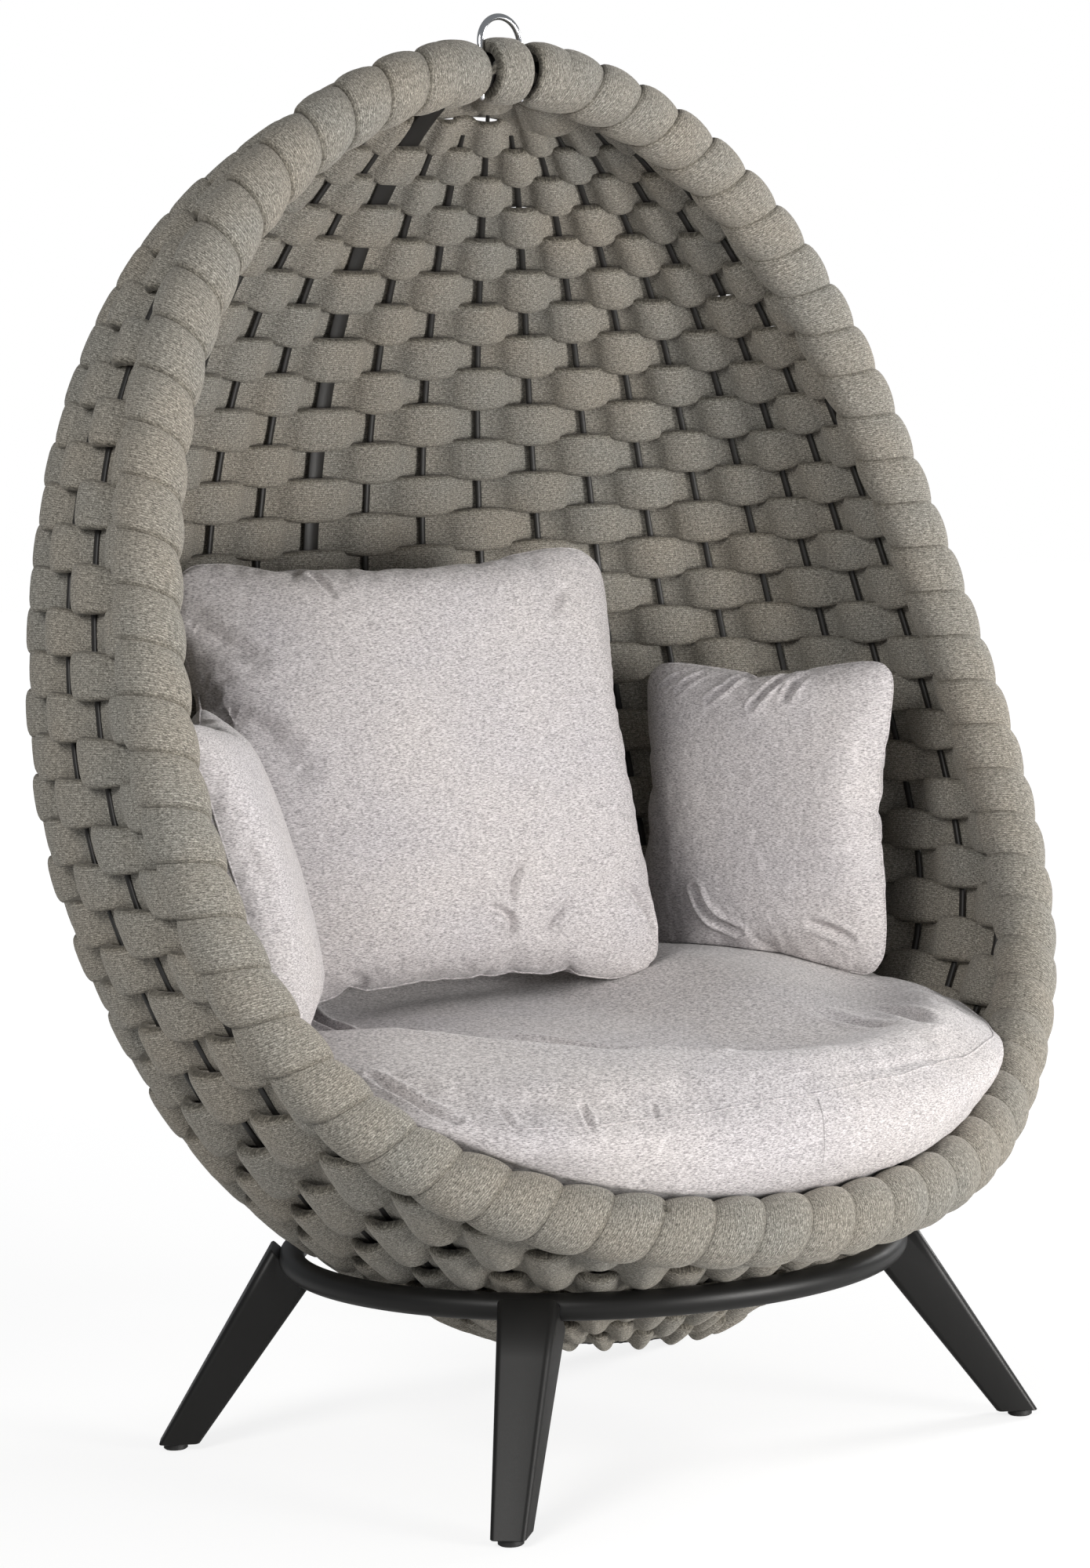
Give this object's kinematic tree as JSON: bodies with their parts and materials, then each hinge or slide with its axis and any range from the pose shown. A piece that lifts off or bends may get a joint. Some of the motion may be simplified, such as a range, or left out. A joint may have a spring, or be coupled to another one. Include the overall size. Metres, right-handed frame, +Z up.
{
  "type": "hanging egg chair",
  "caption": "Egg-shaped lounge pod of padded strap woven over thin ribs, with a wrapped rim, a hanging loop, loose cushions and a four-legged ring stand.",
  "frame": {"origin": "on the floor, below the middle of the whole chair's box", "axes": "+Z up, -Y out of the mouth, +X to the right for someone facing the mouth"},
  "size_m": [1.356, 1.0126, 1.7405],
  "materials": {
    "strap_fabric": "taupe-grey melange knit over soft padding",
    "cushion_fabric": "light grey melange weave",
    "rib_paint": "black powder coat",
    "stand_paint": "anthracite powder coat, satin",
    "glide_plastic": "black moulded plastic",
    "chrome": "bright polished steel"
  },
  "bodies": {
    "base": {"base_ring": "stand_paint", "leg_front_left": "stand_paint", "leg_front_right": "stand_paint", "leg_rear_left": "stand_paint", "leg_rear_right": "stand_paint", "foot_glide_front_left": "glide_plastic", "foot_glide_front_right": "glide_plastic", "foot_glide_rear_left": "glide_plastic", "foot_glide_rear_right": "glide_plastic"},
    "pod": {"rib_cage": "rib_paint", "rim_hoop": "rib_paint", "rim_wrap": "strap_fabric", "rim_wrap_top": "strap_fabric", "hanging_loop": "chrome", "dome_nut_left": "chrome", "dome_nut_right": "chrome", "woven_strap_01": "strap_fabric", "woven_strap_02": "strap_fabric", "woven_strap_03": "strap_fabric", "woven_strap_04": "strap_fabric", "woven_strap_05": "strap_fabric", "woven_strap_06": "strap_fabric", "woven_strap_07": "strap_fabric", "woven_strap_08": "strap_fabric", "woven_strap_09": "strap_fabric", "woven_strap_10": "strap_fabric", "woven_strap_11": "strap_fabric", "woven_strap_12": "strap_fabric", "woven_strap_13": "strap_fabric", "woven_strap_14": "strap_fabric", "woven_strap_15": "strap_fabric", "woven_strap_16": "strap_fabric", "woven_strap_17": "strap_fabric", "woven_strap_18": "strap_fabric", "woven_strap_19": "strap_fabric", "woven_strap_20": "strap_fabric", "woven_strap_21": "strap_fabric", "woven_strap_22": "strap_fabric", "woven_strap_23": "strap_fabric", "woven_strap_24": "strap_fabric", "woven_strap_25": "strap_fabric", "woven_strap_26": "strap_fabric", "woven_strap_27": "strap_fabric", "woven_strap_28": "strap_fabric", "woven_strap_29": "strap_fabric", "woven_strap_30": "strap_fabric", "woven_strap_31": "strap_fabric", "woven_strap_32": "strap_fabric", "woven_strap_33": "strap_fabric", "woven_strap_34": "strap_fabric", "woven_strap_35": "strap_fabric", "woven_strap_36": "strap_fabric", "woven_strap_37": "strap_fabric", "woven_strap_38": "strap_fabric", "seat_cushion": "cushion_fabric", "back_pillow": "cushion_fabric", "scatter_pillow_right": "cushion_fabric", "scatter_pillow_left": "cushion_fabric"}
  },
  "joints": [
    {"name": "pod_lift", "type": "slide", "parent": "base", "child": "pod", "axis": [0, 0, 1], "range_m": [0, 0.25]}
  ]
}
